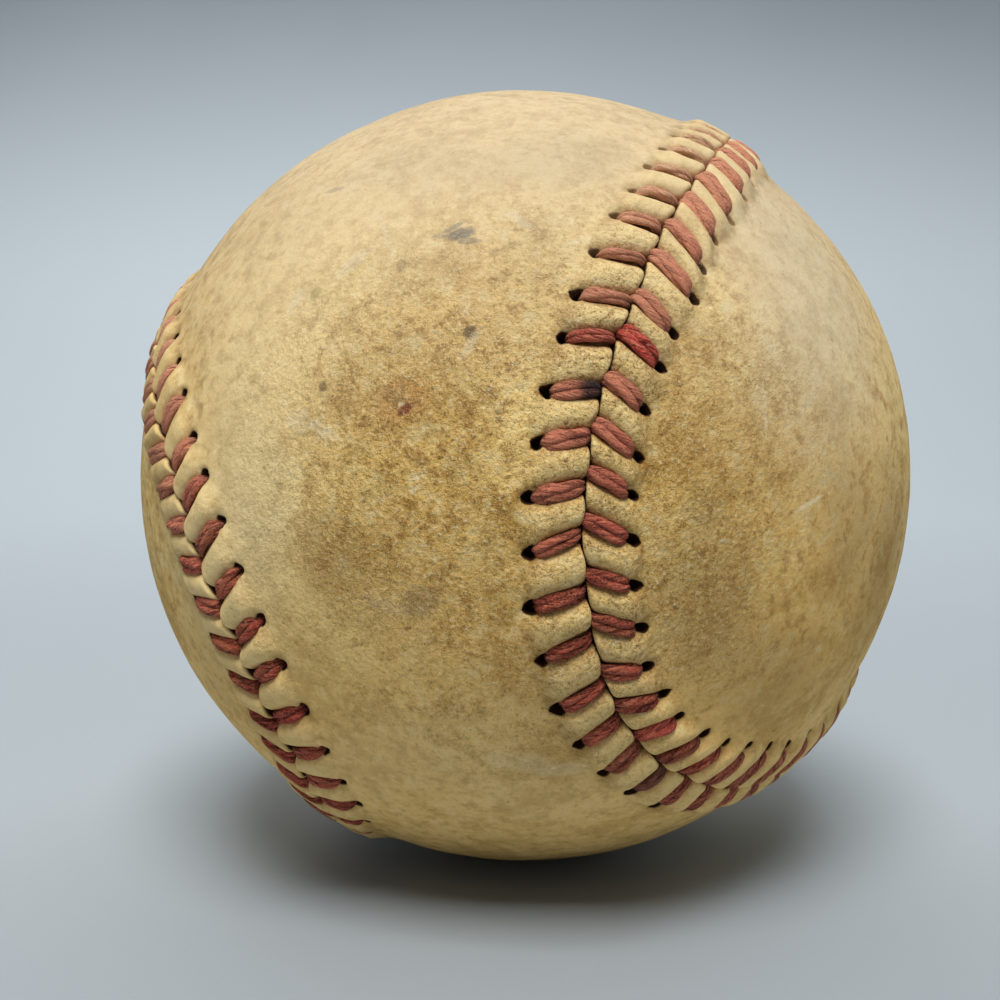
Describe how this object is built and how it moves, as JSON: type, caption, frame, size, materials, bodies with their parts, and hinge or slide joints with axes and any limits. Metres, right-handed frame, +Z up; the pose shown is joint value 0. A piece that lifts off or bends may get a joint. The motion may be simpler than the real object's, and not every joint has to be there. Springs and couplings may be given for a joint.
{
  "type": "baseball",
  "caption": "Hand-sewn leather ball: two interlocking figure-eight panels, raised double stitching, wool windings and a rubber-cased cork core.",
  "frame": {"origin": "centre of the ball", "axes": "+Z up as the ball lies on a table, +Y away from the viewer, +X to the viewer's right"},
  "size_m": [0.0736, 0.0752, 0.0736],
  "materials": {
    "cover_leather": "worn, yellowed, matt leather with grime and scuffs",
    "seam_thread": "faded red waxed cotton thread",
    "cork": "pressed cork granules",
    "black_rubber": "moulded black rubber",
    "red_rubber": "moulded red rubber",
    "grey_wool": "tightly wound grey wool yarn",
    "white_wool": "tightly wound white wool yarn",
    "cotton": "fine cotton finishing thread",
    "cement": "thin coat of rubber cement"
  },
  "bodies": {
    "root": {"cork_core": "cork", "rubber_shell_upper": "black_rubber", "rubber_shell_lower": "black_rubber", "rubber_washer": "red_rubber", "rubber_case": "red_rubber", "wool_winding_inner": "grey_wool", "wool_winding_white": "white_wool", "wool_winding_outer": "grey_wool", "cotton_winding": "cotton", "cement_coat": "cement", "cover_panel_1": "cover_leather", "cover_panel_2": "cover_leather", "seam_thread_1": "seam_thread", "seam_thread_2": "seam_thread"}
  },
  "joints": []
}
